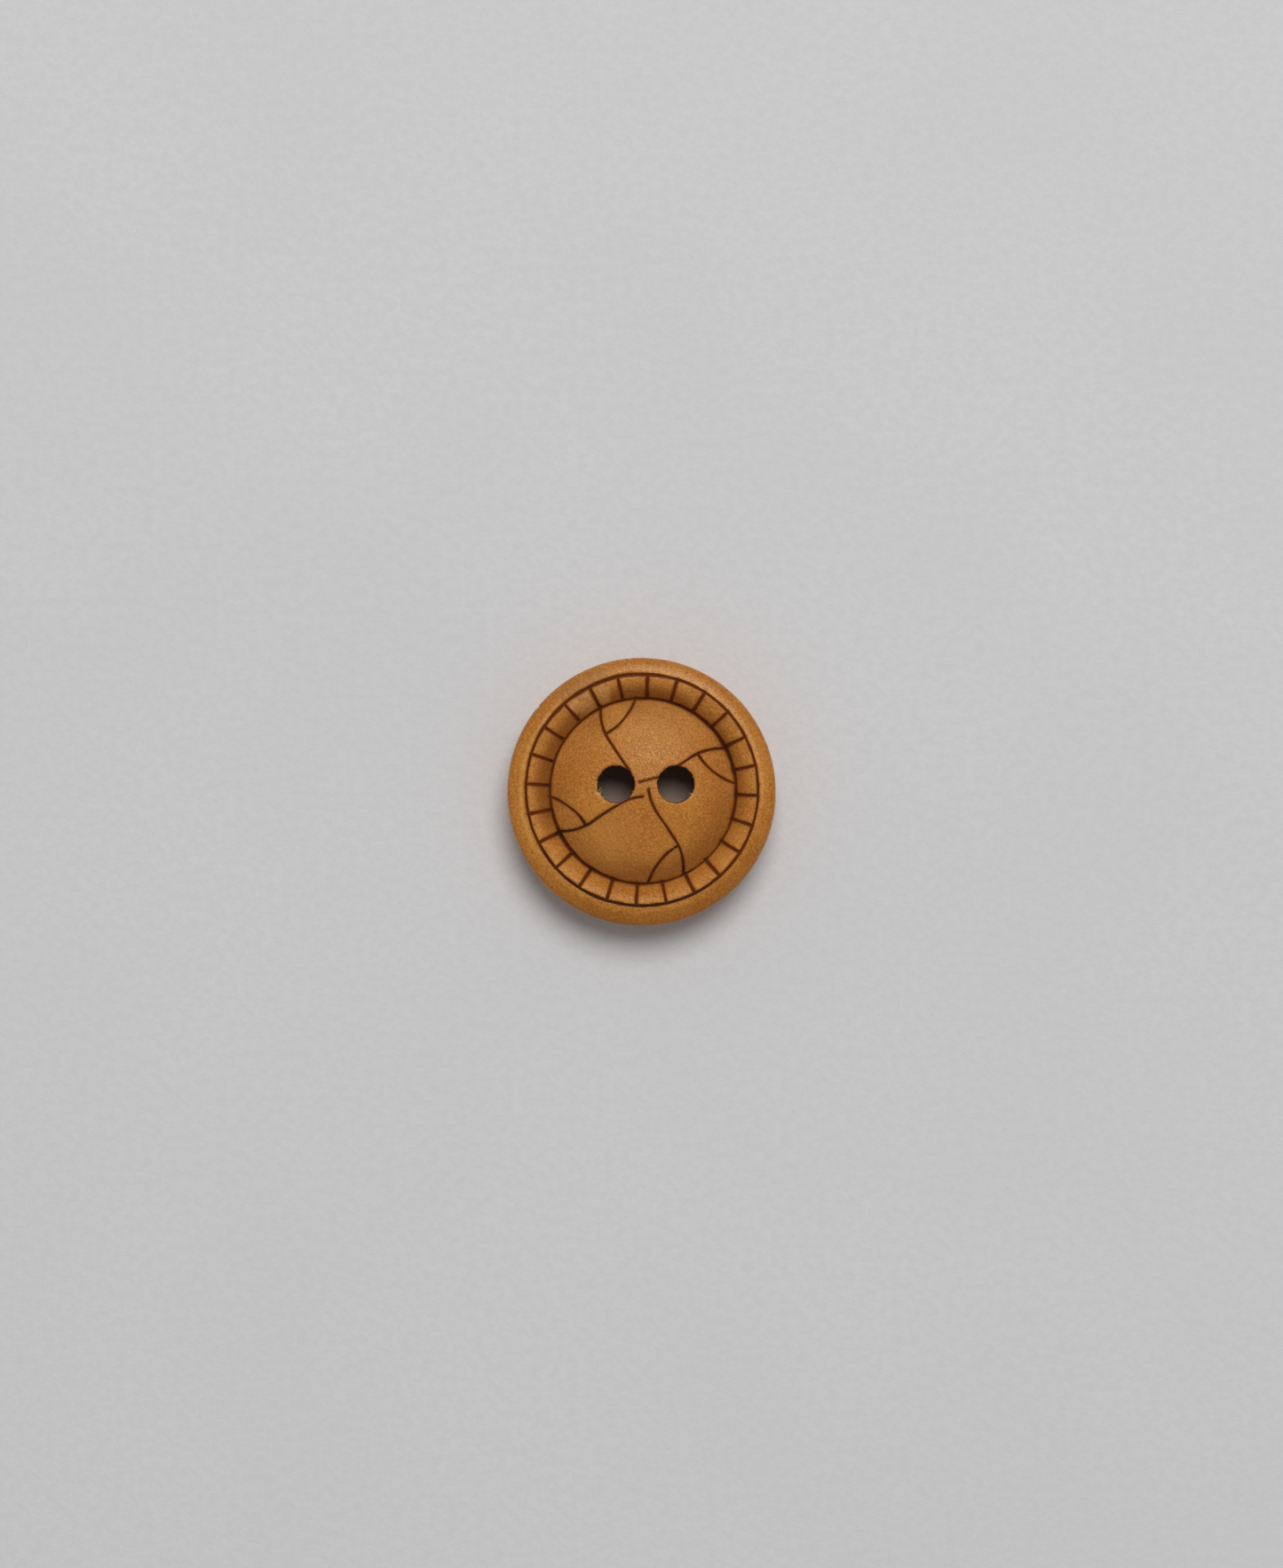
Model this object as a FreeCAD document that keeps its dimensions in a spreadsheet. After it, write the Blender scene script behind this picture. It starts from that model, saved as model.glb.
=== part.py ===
import FreeCAD, Part
import math
import os
import Sketcher

# Sew-on button: one disc of wood, turned with a domed middle, a channel and a raised rim, burnt
# with a plaited pattern and drilled with two sewing holes.
# Frame: origin at the centre of the flat back, +Z up out of the face, +X from hole to hole.

SHEET_NAME = "sizes"
TURN = 360.0
TOLERANCE = 1e-6

# Driving dimensions in millimetres and degrees: alias, value, what it is.
DIMENSIONS = [
    ("disc_diameter", 18.0, "outside diameter of the disc"),
    ("centre_height", 4.65, "back to the top of the dome"),
    ("rim_height", 3.82, "back to the crest of the rim"),
    ("rim_width", 1.3, "crest of the rim to the outside"),
    ("channel_width", 1.45, "bottom of the channel to the crest of the rim"),
    ("channel_wall_angle", 46.0, "slope of the channel's outer wall"),
    ("channel_fillet", 0.1, "rounding at the bottom of the channel"),
    ("rim_inner_rounding", 1.45, "radius of the rim inside its crest"),
    ("rim_outer_rounding", 2.2, "radius of the rim outside its crest"),
    ("shoulder_rounding", 0.5, "radius where the rim turns down to the side"),
    ("back_rounding", 1.0, "radius where the side turns in to the back"),
    ("hole_diameter", 2.5, "drilled sewing holes"),
    ("hole_spacing", 4.0, "centre to centre of the sewing holes"),
    ("hole_offset_x", 0.3, "middle of the hole pair from the disc's axis, along the pair"),
    ("hole_offset_y", 0.51, "middle of the hole pair from the disc's axis, across the pair"),
    ("hole_chamfer", 0.15, "broken edges of the holes at the back"),
    ("hole_chamfer_angle", 90.0, "full angle of the broken edges"),
    ("burn_depth", 0.1, "depth of the burnt lines"),
    ("pattern_offset_x", 0.03, "centre of the burnt pattern from the disc's axis"),
    ("pattern_offset_y", 0.14, "centre of the burnt pattern from the disc's axis"),
    ("outer_ring_inset", 0.06, "outer burnt ring outside the crest of the rim"),
    ("outer_ring_width", 0.16, "width of the outer burnt ring"),
    ("inner_ring_width", 0.2, "width of the burnt ring in the channel"),
    ("tick_count", 24, "short radial lines between the two rings"),
    ("tick_direction", 12.0, "direction of the first radial line"),
    ("tick_width", 0.15, "width of the radial lines"),
    ("plait_count", 4, "strands of the plait"),
    ("plait_direction", 33.7, "direction of the first strand"),
    ("strand_width", 0.14, "width of the strand and leaf lines"),
    ("strand_start", 0.07, "inner end of a strand, measured along its direction"),
    ("strand_inner_bend", 1.7, "where the inner bend gives way to the straight stretch"),
    ("strand_inner_radius", 2.76, "radius of the inner bend"),
    ("strand_outer_bend", 2.35, "start of the outer bend, measured in from the inner ring"),
    ("strand_outer_radius", 3.68, "radius of the outer bend"),
    ("leaf_start", 1.8, "where a leaf line leaves its strand, measured in from the inner ring"),
    ("leaf_end_angle", 29.9, "clockwise from the strand's direction to the leaf line's outer end"),
    ("leaf_radius", 4.6, "radius of a leaf line"),
]
SIZE = {alias: value for alias, value, _ in DIMENSIONS}

# Lengths that follow from the driving dimensions, as the sheet's expressions.
DISC_RADIUS = "sizes.disc_diameter / 2"
CREST_RADIUS = "(sizes.disc_diameter / 2 - sizes.rim_width)"
CHANNEL_RADIUS = f"({CREST_RADIUS} - sizes.channel_width)"
OUTER_RING_RADIUS = f"({CREST_RADIUS} + sizes.outer_ring_inset)"

# The same lengths as numbers, to start each sketch close to its constraints.
disc_radius = SIZE["disc_diameter"] / 2
crest_radius = disc_radius - SIZE["rim_width"]
channel_radius = crest_radius - SIZE["channel_width"]
outer_ring_radius = crest_radius + SIZE["outer_ring_inset"]

# Sketcher's names for the ends of an edge and for a sketch's own origin and axes.
START, END, CENTRE = 1, 2, 3
X_AXIS, Y_AXIS = -1, -2
ORIGIN = (X_AXIS, START)


def make_sheet(doc):
    sheet = doc.addObject("Spreadsheet::Sheet", SHEET_NAME)
    for row, (alias, value, meaning) in enumerate(DIMENSIONS, start=1):
        sheet.set(f"A{row}", meaning)
        sheet.set(f"B{row}", str(value))
        sheet.setAlias(f"B{row}", alias)
    doc.recompute()
    return sheet


def new_body(doc, label):
    body = doc.addObject("PartDesign::Body", label)
    body.Label = label
    body.AllowCompound = True
    return body


def new_sketch(body, name, plane_role):
    plane = next(item for item in body.Origin.OriginFeatures if item.Role == plane_role)
    sketch = body.newObject("Sketcher::SketchObject", name)
    sketch.AttachmentSupport = [(plane, "")]
    sketch.MapMode = "FlatFace"
    return sketch


def pattern_sketch(body, name, direction="0"):
    """A sketch in the plane of the back, centred on the burnt pattern and turned to a direction."""
    sketch = new_sketch(body, name, "XY_Plane")
    sketch.setExpression("AttachmentOffset.Base.x", "sizes.pattern_offset_x")
    sketch.setExpression("AttachmentOffset.Base.y", "sizes.pattern_offset_y")
    sketch.setExpression("AttachmentOffset.Rotation.Yaw", direction)
    return sketch


def point(x, y):
    return FreeCAD.Vector(x, y, 0)


def add_line(sketch, start, end, construction=False):
    return sketch.addGeometry(Part.LineSegment(point(*start), point(*end)), construction)


def add_circle(sketch, radius, centre=(0, 0), construction=False):
    circle = Part.Circle(point(*centre), FreeCAD.Vector(0, 0, 1), radius)
    return sketch.addGeometry(circle, construction)


def add_arc(sketch, centre, radius, start_angle, end_angle):
    """An arc that runs counter-clockwise between two angles in degrees."""
    circle = Part.Circle(point(*centre), FreeCAD.Vector(0, 0, 1), radius)
    arc = Part.ArcOfCircle(circle, math.radians(start_angle), math.radians(end_angle))
    return sketch.addGeometry(arc)


def constrain(sketch, kind, *arguments):
    return sketch.addConstraint(Sketcher.Constraint(kind, *arguments))


def dimension(sketch, name, expression, kind, *arguments):
    """A dimension whose value is an expression of the sheet's cells."""
    index = sketch.addConstraint(Sketcher.Constraint(kind, *arguments))
    sketch.renameConstraint(index, name)
    sketch.setExpression(f"Constraints.{name}", expression)


def angle_between(start, end):
    return math.degrees(math.atan2(end[1] - start[1], end[0] - start[0]))


def turned_blank(body):
    """The turned disc: one half-section in the XZ plane, turned about the disc's axis."""
    height, rim_height = SIZE["centre_height"], SIZE["rim_height"]
    back, shoulder = SIZE["back_rounding"], SIZE["shoulder_rounding"]
    outer, inner = SIZE["rim_outer_rounding"], SIZE["rim_inner_rounding"]
    wall_angle = SIZE["channel_wall_angle"]
    wall_slope = math.radians(wall_angle)

    shoulder_reach = disc_radius - shoulder - crest_radius
    shoulder_tilt = math.degrees(math.asin(shoulder_reach / (outer - shoulder)))
    shoulder_height = rim_height - outer + math.sqrt((outer - shoulder) ** 2 - shoulder_reach ** 2)
    wall_top = (crest_radius - inner * math.sin(wall_slope),
                rim_height - inner * (1 - math.cos(wall_slope)))
    channel = (channel_radius, wall_top[1] - (wall_top[0] - channel_radius) * math.tan(wall_slope))
    sag = height - channel[1]
    dome_radius = (channel_radius ** 2 + sag ** 2) / (2 * sag)
    dome_centre = (0, height - dome_radius)

    sketch = new_sketch(body, f"{body.Label}_profile", "XZ_Plane")
    back_line = add_line(sketch, (0, 0), (disc_radius - back, 0))
    back_arc = add_arc(sketch, (disc_radius - back, back), back, 270, 360)
    side_line = add_line(sketch, (disc_radius, back), (disc_radius, shoulder_height))
    shoulder_arc = add_arc(sketch, (disc_radius - shoulder, shoulder_height), shoulder,
                           0, 90 - shoulder_tilt)
    outer_arc = add_arc(sketch, (crest_radius, rim_height - outer), outer, 90 - shoulder_tilt, 90)
    inner_arc = add_arc(sketch, (crest_radius, rim_height - inner), inner, 90, 90 + wall_angle)
    wall_line = add_line(sketch, wall_top, channel)
    dome_arc = add_arc(sketch, dome_centre, dome_radius, angle_between(dome_centre, channel), 90)
    axis_line = add_line(sketch, (0, height), (0, 0))

    constrain(sketch, "Coincident", back_line, START, *ORIGIN)
    constrain(sketch, "Horizontal", back_line)
    constrain(sketch, "Tangent", back_line, END, back_arc, START)
    constrain(sketch, "Tangent", back_arc, END, side_line, START)
    constrain(sketch, "Vertical", side_line)
    constrain(sketch, "Tangent", side_line, END, shoulder_arc, START)
    constrain(sketch, "Tangent", shoulder_arc, END, outer_arc, START)
    constrain(sketch, "Tangent", outer_arc, END, inner_arc, START)
    constrain(sketch, "Vertical", outer_arc, END, outer_arc, CENTRE)
    constrain(sketch, "Tangent", inner_arc, END, wall_line, START)
    constrain(sketch, "Coincident", wall_line, END, dome_arc, START)
    constrain(sketch, "PointOnObject", dome_arc, CENTRE, Y_AXIS)
    constrain(sketch, "Coincident", dome_arc, END, axis_line, START)
    constrain(sketch, "PointOnObject", dome_arc, END, Y_AXIS)
    constrain(sketch, "Coincident", axis_line, END, *ORIGIN)

    dimension(sketch, "disc_radius", DISC_RADIUS, "DistanceX", *ORIGIN, side_line, START, disc_radius)
    dimension(sketch, "back_rounding", "sizes.back_rounding", "Radius", back_arc, back)
    dimension(sketch, "shoulder_rounding", "sizes.shoulder_rounding", "Radius", shoulder_arc, shoulder)
    dimension(sketch, "outer_rounding", "sizes.rim_outer_rounding", "Radius", outer_arc, outer)
    dimension(sketch, "inner_rounding", "sizes.rim_inner_rounding", "Radius", inner_arc, inner)
    dimension(sketch, "crest_radius", CREST_RADIUS, "DistanceX", *ORIGIN, outer_arc, END, crest_radius)
    dimension(sketch, "rim_height", "sizes.rim_height", "DistanceY", *ORIGIN, outer_arc, END, rim_height)
    dimension(sketch, "channel_radius", CHANNEL_RADIUS, "DistanceX", *ORIGIN, wall_line, END,
              channel_radius)
    dimension(sketch, "wall_angle", "sizes.channel_wall_angle * 1 deg", "Angle", X_AXIS, START,
              wall_line, END, wall_slope)
    dimension(sketch, "centre_height", "sizes.centre_height", "DistanceY", *ORIGIN, dome_arc, END,
              height)

    turned = body.newObject("PartDesign::Revolution", f"{body.Label}_turning")
    turned.Profile = sketch
    turned.ReferenceAxis = (sketch, ["V_Axis"])
    turned.Angle = TURN
    return turned


def round_circles(body, name, feature, radius, rounding):
    """Rounds every circular edge of one radius on the feature before it."""
    edges = [f"Edge{number}" for number, edge in enumerate(feature.Shape.Edges, start=1)
             if not edge.Degenerated and isinstance(edge.Curve, Part.Circle)
             and abs(edge.Curve.Radius - radius) < TOLERANCE]
    fillet = body.newObject("PartDesign::Fillet", name)
    fillet.Base = (feature, edges)
    fillet.setExpression("Radius", rounding)
    return fillet


def drill_holes(body):
    """The two sewing holes, drilled right through from the back, with their back edges broken."""
    radius = SIZE["hole_diameter"] / 2
    across = SIZE["hole_offset_y"]
    sketch = new_sketch(body, "hole_centres", "XY_Plane")
    circles = []
    for name, side in (("left", -1), ("right", 1)):
        along = SIZE["hole_offset_x"] + side * SIZE["hole_spacing"] / 2
        circle = add_circle(sketch, radius, (along, across))
        circles.append(circle)
        # A dimension is never negative, so it runs from the origin to whichever side the hole is.
        ends = (*ORIGIN, circle, CENTRE) if along >= 0 else (circle, CENTRE, *ORIGIN)
        sign = "" if along >= 0 else "-1 * "
        place = f"{sign}(sizes.hole_offset_x + {side} * sizes.hole_spacing / 2)"
        dimension(sketch, f"{name}_along", place, "DistanceX", *ends, abs(along))
        dimension(sketch, f"{name}_across", "sizes.hole_offset_y", "DistanceY", *ORIGIN,
                  circle, CENTRE, across)
    constrain(sketch, "Equal", *circles)
    dimension(sketch, "hole_radius", "sizes.hole_diameter / 2", "Radius", circles[0], radius)

    holes = body.newObject("PartDesign::Hole", "sewing_holes")
    holes.Profile = sketch
    holes.Reversed = True
    holes.DepthType = "ThroughAll"
    holes.HoleCutType = "Countersink"
    holes.setExpression("Diameter", "sizes.hole_diameter")
    holes.setExpression("HoleCutDiameter", "sizes.hole_diameter + 2 * sizes.hole_chamfer")
    holes.setExpression("HoleCutCountersinkAngle", "sizes.hole_chamfer_angle")
    return holes


def pad_lines(body, name, profile):
    """Stands a flat band of burnt line up as a wall that is taller than the disc."""
    wall = body.newObject("PartDesign::Pad", name)
    wall.Profile = profile
    wall.setExpression("Length", "sizes.centre_height + sizes.burn_depth")
    return wall


def band_along(body, sketch, width):
    """A flat band of a given width, round-ended, along the line that a sketch holds."""
    band = body.newObject("PartDesign::SubShapeBinder", f"{sketch.Name}_band")
    band.Support = [(sketch, "")]
    band.OffsetFill = True
    band.setExpression("Offset", f"{width} / 2")
    return band


def repeat_round(body, wall, sketch, count):
    """Repeats a wall evenly about the pattern's own centre."""
    pattern = body.newObject("PartDesign::PolarPattern", f"{wall.Name}_round")
    pattern.Originals = [wall]
    pattern.Axis = (sketch, ["N_Axis"])
    pattern.Angle = TURN
    pattern.setExpression("Occurrences", count)
    body.Tip = pattern


def ring_walls(body, name, radius, radius_expression, width_alias):
    half_width = SIZE[width_alias] / 2
    sketch = pattern_sketch(body, f"{name}_sketch")
    for edge_name, sign in (("inside", -1), ("outside", 1)):
        circle = add_circle(sketch, radius + sign * half_width)
        constrain(sketch, "Coincident", circle, CENTRE, *ORIGIN)
        dimension(sketch, f"{edge_name}_radius",
                  f"{radius_expression} + {sign} * sizes.{width_alias} / 2",
                  "Radius", circle, radius + sign * half_width)
    pad_lines(body, name, sketch)


def guide_ring(sketch, name, radius, radius_expression):
    """A construction circle about the pattern's centre."""
    circle = add_circle(sketch, radius, construction=True)
    constrain(sketch, "Coincident", circle, CENTRE, *ORIGIN)
    dimension(sketch, name, radius_expression, "Radius", circle, radius)
    return circle


def tick_walls(body):
    """The short radial lines from the inner ring to the outer ring."""
    half_width = SIZE["tick_width"] / 2
    corners = [(channel_radius, -half_width), (outer_ring_radius, -half_width),
               (outer_ring_radius, half_width), (channel_radius, half_width)]

    sketch = pattern_sketch(body, "tick_line", "sizes.tick_direction")
    sides = [add_line(sketch, corner, corners[(index + 1) % len(corners)])
             for index, corner in enumerate(corners)]
    for index, side in enumerate(sides):
        constrain(sketch, "Coincident", side, END, sides[(index + 1) % len(sides)], START)
    lower_side, outer_side, upper_side, inner_side = sides
    constrain(sketch, "Horizontal", lower_side)
    constrain(sketch, "Horizontal", upper_side)
    constrain(sketch, "Vertical", outer_side)
    constrain(sketch, "Symmetric", inner_side, START, inner_side, END, X_AXIS)
    dimension(sketch, "inner_end", CHANNEL_RADIUS, "DistanceX", *ORIGIN, inner_side, START,
              channel_radius)
    dimension(sketch, "outer_end", OUTER_RING_RADIUS, "DistanceX", *ORIGIN, outer_side, START,
              outer_ring_radius)
    dimension(sketch, "width", "sizes.tick_width", "DistanceY", outer_side, START, outer_side, END,
              2 * half_width)
    wall = pad_lines(body, "ticks", sketch)
    repeat_round(body, wall, sketch, "sizes.tick_count")


def strand_bends():
    """Centres and radii of a strand's two bends, in the strand's own directions."""
    inner = ((SIZE["strand_inner_bend"], SIZE["strand_inner_radius"]), SIZE["strand_inner_radius"])
    outer_start = channel_radius - SIZE["strand_outer_bend"]
    outer = ((outer_start, -SIZE["strand_outer_radius"]), SIZE["strand_outer_radius"])
    return inner, outer


def ring_crossing(centre, radius):
    """Where a circle crosses the inner ring, on the counter-clockwise side of its centre."""
    reach = math.hypot(*centre)
    turn = math.acos((channel_radius ** 2 + reach ** 2 - radius ** 2) / (2 * channel_radius * reach))
    direction = math.atan2(centre[1], centre[0]) + turn
    return channel_radius * math.cos(direction), channel_radius * math.sin(direction)


def strand_walls(body):
    """The strands: an inner bend, a straight stretch and an outer bend that runs into the ring."""
    (inner_centre, inner_radius), (outer_centre, outer_radius) = strand_bends()
    inner_turn = math.degrees(math.asin((inner_centre[0] - SIZE["strand_start"]) / inner_radius))
    ring_end = ring_crossing(outer_centre, outer_radius)

    sketch = pattern_sketch(body, "strand_line", "sizes.plait_direction")
    inner_bend = add_arc(sketch, inner_centre, inner_radius, 270 - inner_turn, 270)
    straight = add_line(sketch, (inner_centre[0], 0), (outer_centre[0], 0))
    outer_bend = add_arc(sketch, outer_centre, outer_radius, angle_between(outer_centre, ring_end), 90)
    ring = guide_ring(sketch, "ring_radius", channel_radius, CHANNEL_RADIUS)

    constrain(sketch, "PointOnObject", straight, START, X_AXIS)
    constrain(sketch, "PointOnObject", straight, END, X_AXIS)
    constrain(sketch, "Tangent", inner_bend, END, straight, START)
    constrain(sketch, "Tangent", outer_bend, END, straight, END)
    constrain(sketch, "PointOnObject", outer_bend, START, ring)
    dimension(sketch, "inner_end", "sizes.strand_start", "DistanceX", *ORIGIN, inner_bend, START,
              SIZE["strand_start"])
    dimension(sketch, "inner_bend_place", "sizes.strand_inner_bend", "DistanceX", *ORIGIN,
              straight, START, inner_centre[0])
    dimension(sketch, "outer_bend_place", f"{CHANNEL_RADIUS} - sizes.strand_outer_bend", "DistanceX",
              *ORIGIN, straight, END, outer_centre[0])
    dimension(sketch, "inner_radius", "sizes.strand_inner_radius", "Radius", inner_bend, inner_radius)
    dimension(sketch, "outer_radius", "sizes.strand_outer_radius", "Radius", outer_bend, outer_radius)

    band = band_along(body, sketch, "sizes.strand_width")
    wall = pad_lines(body, "strands", band)
    repeat_round(body, wall, sketch, "sizes.plait_count")


def leaf_walls(body):
    """The leaf lines: one arc from each strand's outer bend back to the ring."""
    _, (bend_centre, bend_radius) = strand_bends()
    along = channel_radius - SIZE["leaf_start"]
    leaf_start = (along, bend_centre[1] + math.sqrt(bend_radius ** 2 - (along - bend_centre[0]) ** 2))
    end_angle = math.radians(SIZE["leaf_end_angle"])
    leaf_end = (channel_radius * math.cos(end_angle), -channel_radius * math.sin(end_angle))
    radius = SIZE["leaf_radius"]
    half_chord = math.dist(leaf_start, leaf_end) / 2
    chord_angle = math.radians(angle_between(leaf_start, leaf_end))
    bulge = math.sqrt(radius ** 2 - half_chord ** 2)
    centre = ((leaf_start[0] + leaf_end[0]) / 2 - bulge * math.sin(chord_angle),
              (leaf_start[1] + leaf_end[1]) / 2 + bulge * math.cos(chord_angle))

    sketch = pattern_sketch(body, "leaf_line", "sizes.plait_direction")
    leaf = add_arc(sketch, centre, radius, angle_between(centre, leaf_start) % TURN,
                   angle_between(centre, leaf_end) % TURN)
    ring = guide_ring(sketch, "ring_radius", channel_radius, CHANNEL_RADIUS)
    spoke = add_line(sketch, (0, 0), leaf_end, construction=True)
    bend = add_circle(sketch, bend_radius, bend_centre, construction=True)

    constrain(sketch, "Coincident", spoke, START, *ORIGIN)
    constrain(sketch, "PointOnObject", spoke, END, ring)
    constrain(sketch, "Coincident", leaf, END, spoke, END)
    constrain(sketch, "PointOnObject", leaf, START, bend)
    dimension(sketch, "end_angle", "sizes.leaf_end_angle * 1 deg", "Angle", spoke, START,
              X_AXIS, START, end_angle)
    dimension(sketch, "bend_radius", "sizes.strand_outer_radius", "Radius", bend, bend_radius)
    dimension(sketch, "bend_along", f"{CHANNEL_RADIUS} - sizes.strand_outer_bend", "DistanceX",
              *ORIGIN, bend, CENTRE, bend_centre[0])
    dimension(sketch, "bend_across", "sizes.strand_outer_radius", "DistanceY", bend, CENTRE,
              *ORIGIN, bend_radius)
    dimension(sketch, "leaf_start", f"{CHANNEL_RADIUS} - sizes.leaf_start", "DistanceX",
              *ORIGIN, leaf, START, along)
    dimension(sketch, "leaf_radius", "sizes.leaf_radius", "Radius", leaf, radius)

    band = band_along(body, sketch, "sizes.strand_width")
    wall = pad_lines(body, "leaves", band)
    repeat_round(body, wall, sketch, "sizes.plait_count")


def cut_body(body, tool, name):
    cut = body.newObject("PartDesign::Boolean", name)
    cut.Type = "Cut"
    cut.setObjects([tool])
    return cut


def lowered_blank(doc):
    """The same turned disc, one burn depth lower: the burnt lines end on its face."""
    body = new_body(doc, "burn_floor")
    turned_blank(body)
    body.setExpression("Placement.Base.z", "-1 * sizes.burn_depth")
    return body


def burn_lines(doc):
    """Everything that the burning takes away: the pattern's walls, down to the lowered face."""
    body = new_body(doc, "burn_tool")
    ring_walls(body, "outer_ring", outer_ring_radius, OUTER_RING_RADIUS, "outer_ring_width")
    ring_walls(body, "inner_ring", channel_radius, CHANNEL_RADIUS, "inner_ring_width")
    tick_walls(body)
    strand_walls(body)
    leaf_walls(body)
    doc.recompute()
    cut_body(body, lowered_blank(doc), "burn_skin")
    doc.recompute()
    return body


def removed_by(before, after, name):
    """Stops the build when a cut takes nothing away."""
    if before.Shape.Volume - after.Shape.Volume < TOLERANCE:
        raise RuntimeError(f"{name} takes no wood away")


def button_disc(doc):
    """The button: turned, burnt, then drilled."""
    body = new_body(doc, "button_disc")
    blank = turned_blank(body)
    doc.recompute()
    turned = round_circles(body, "channel_rounding", blank, channel_radius, "sizes.channel_fillet")
    doc.recompute()
    burnt = cut_body(body, burn_lines(doc), "burnt_pattern")
    doc.recompute()
    removed_by(turned, burnt, "burnt_pattern")
    holes = drill_holes(body)
    doc.recompute()
    removed_by(burnt, holes, "sewing_holes")
    return body


def check_document(doc):
    """Stops the build when any object of the document failed, or a sketch isn't fully held."""
    for item in doc.Objects:
        if "Invalid" in item.State or "Error" in item.State:
            raise RuntimeError(f"{item.Name} failed: {item.State}")
        if item.isDerivedFrom("Sketcher::SketchObject") and not item.FullyConstrained:
            raise RuntimeError(f"{item.Name} isn't fully constrained")


def export_part(body):
    shape = body.Shape
    if shape.isNull() or not shape.isValid() or len(shape.Solids) != 1:
        raise RuntimeError(f"{body.Label} isn't one valid solid")
    shape.exportStep(f"parts/{body.Label}.step")
    box = shape.BoundBox
    print(f"{body.Label}: {shape.Volume:.2f} mm3, {box.XLength:.2f} x {box.YLength:.2f} x "
          f"{box.ZLength:.2f} mm, {len(shape.Faces)} faces")


def main():
    os.makedirs("parts", exist_ok=True)
    doc = FreeCAD.newDocument("sew_on_button")
    make_sheet(doc)
    body = button_disc(doc)
    check_document(doc)
    export_part(body)


main()
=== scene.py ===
"""The visible sew-on button: its turned and burnt mesh, stained wood, paper, light and camera.

Lengths are millimetres in the button's own frame (face up, origin at the centre of the back), and
become metres when a mesh, a light or the camera is made.
"""
import math
import bmesh
import bpy
import numpy as np
from mathutils import Matrix, Vector
from mathutils.geometry import delaunay_2d_cdt


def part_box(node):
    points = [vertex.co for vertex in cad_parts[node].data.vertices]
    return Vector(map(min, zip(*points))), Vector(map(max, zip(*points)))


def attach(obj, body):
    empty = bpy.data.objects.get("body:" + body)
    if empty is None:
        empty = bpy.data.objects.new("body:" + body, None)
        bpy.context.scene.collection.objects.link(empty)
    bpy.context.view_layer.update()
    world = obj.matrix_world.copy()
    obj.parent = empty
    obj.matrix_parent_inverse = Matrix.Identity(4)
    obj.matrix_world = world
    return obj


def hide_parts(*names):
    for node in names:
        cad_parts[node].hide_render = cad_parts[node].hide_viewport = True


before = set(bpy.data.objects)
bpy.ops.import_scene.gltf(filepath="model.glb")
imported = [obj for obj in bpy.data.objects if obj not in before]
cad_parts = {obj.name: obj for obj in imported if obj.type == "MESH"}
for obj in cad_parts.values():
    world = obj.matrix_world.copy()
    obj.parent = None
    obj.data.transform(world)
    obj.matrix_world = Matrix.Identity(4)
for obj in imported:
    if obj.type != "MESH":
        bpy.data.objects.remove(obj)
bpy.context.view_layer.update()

MM = 0.001
NODE = "button_disc"
SEED = 7
WHOLE_TURN = 2 * math.pi
QUARTER_TURN = math.pi / 2

# The turned disc. Its radius and height are the CAD part's own.
box_low, box_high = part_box(NODE)
DISC_RADIUS = (box_high.x - box_low.x) / 2 / MM
CENTRE_HEIGHT = box_high.z / MM
RIM_HEIGHT = 3.82
RIM_WIDTH = 1.3
CHANNEL_WIDTH = 1.45
CREST_RADIUS = DISC_RADIUS - RIM_WIDTH
CHANNEL_RADIUS = CREST_RADIUS - CHANNEL_WIDTH
WALL_SLOPE = math.radians(46)
RIM_INNER_ROUNDING = 1.45
RIM_OUTER_ROUNDING = 2.2
SHOULDER_ROUNDING = 0.5
BACK_ROUNDING = 1.0
CHANNEL_SOFTNESS = 0.05

# The drilled holes.
HOLE_RADIUS = 1.25
HOLE_CENTRES = (np.array((-1.7, 0.51)), np.array((2.3, 0.51)))
FRONT_EDGE_ROUNDING = 0.09
BACK_EDGE_CHAMFER = 0.15

# The burnt pattern, about a centre of its own.
PATTERN_CENTRE = np.array((0.03, 0.14))
CHANNEL_RING_CENTRE = np.array((0.09, 0.07))
OUTER_RING_RADIUS = CREST_RADIUS + 0.06
CHANNEL_RING_RADIUS = CHANNEL_RADIUS - 0.01
BURN_DEPTH = 0.09
OUTER_RING_WIDTH = 0.22
CHANNEL_RING_WIDTH = 0.28
TICK_WIDTH = 0.27
STRAND_WIDTH = 0.2
RING_HEAVY_SIDE = math.radians(45)
TICK_COUNT = 24
TICK_DIRECTION = math.radians(12.15)
PLAIT_COUNT = 4
PLAIT_DIRECTION = math.radians(33.7)

# The run of the wood's fibres across the face.
GRAIN_DIRECTION = math.radians(124)

# How closely the mesh is sampled, and where the face and the back meet the side. The rows beside
# a burnt line are in half widths of the line.
FACE_SPACING = 0.1
LINE_SPACING = 0.09
LINE_ROWS = (0, 0.22, 0.42, 0.62, 0.85, 1.15)
FINEST_SPACING = 0.022
EDGE_SEGMENTS = 400
HOLE_SEGMENTS = 110
HOLE_LEVELS = 24
SPLINTER_SIDES = 5
SPLINTER_LEVELS = 6
FRONT_EDGE_RADIUS = CREST_RADIUS + 0.9
BACK_FLAT_RADIUS = DISC_RADIUS - BACK_ROUNDING
BACK_SPACING = 0.3
MERGE_DISTANCE = 0.001
SAME_POINT = 1e-7

# The heights from which the marks of the upper side, and the stain with its painted shade, show.
UPPER_SIDE = 1.5
STAIN_AND_SHADE_FROM = 0.6


# ---- numbers ----------------------------------------------------------------------------------

def smooth_step(low, high, values):
    t = np.clip((values - low) / (high - low), 0, 1)
    return t * t * (3 - 2 * t)


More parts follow.
